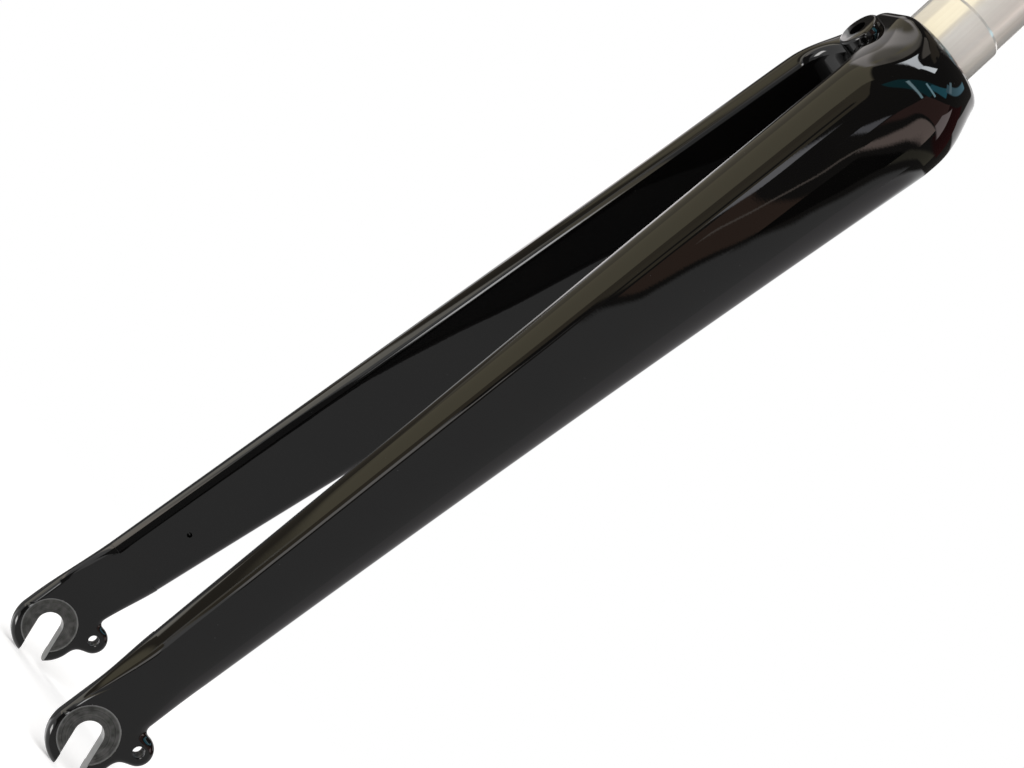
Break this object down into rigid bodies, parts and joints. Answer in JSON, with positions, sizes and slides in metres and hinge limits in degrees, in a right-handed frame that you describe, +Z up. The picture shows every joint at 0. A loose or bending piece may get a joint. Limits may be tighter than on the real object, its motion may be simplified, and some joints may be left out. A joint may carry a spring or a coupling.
{
  "type": "rigid bicycle fork",
  "caption": "Rigid bicycle fork with straight tapered gloss black blades, a bare metal steerer, a crown drilled for a rim brake, and slotted dropouts with mudguard eyelets.",
  "frame": {"origin": "on the steerer axis at the crown's top face, where the race seat starts", "axes": "+Z up the steerer, +X forwards, +Y to the rider's left"},
  "size_m": [0.0811, 0.112, 0.6765],
  "materials": {
    "gloss_black": "deep gloss black paint over a moulded composite",
    "bare_aluminium": "turned, bare",
    "painted_dropout": "gloss black paint, bare on the clamp faces and in the slot"
  },
  "bodies": {
    "root": {"fork_body": "gloss_black", "steerer_tube": "bare_aluminium", "left_dropout": "painted_dropout", "right_dropout": "painted_dropout"}
  },
  "joints": []
}
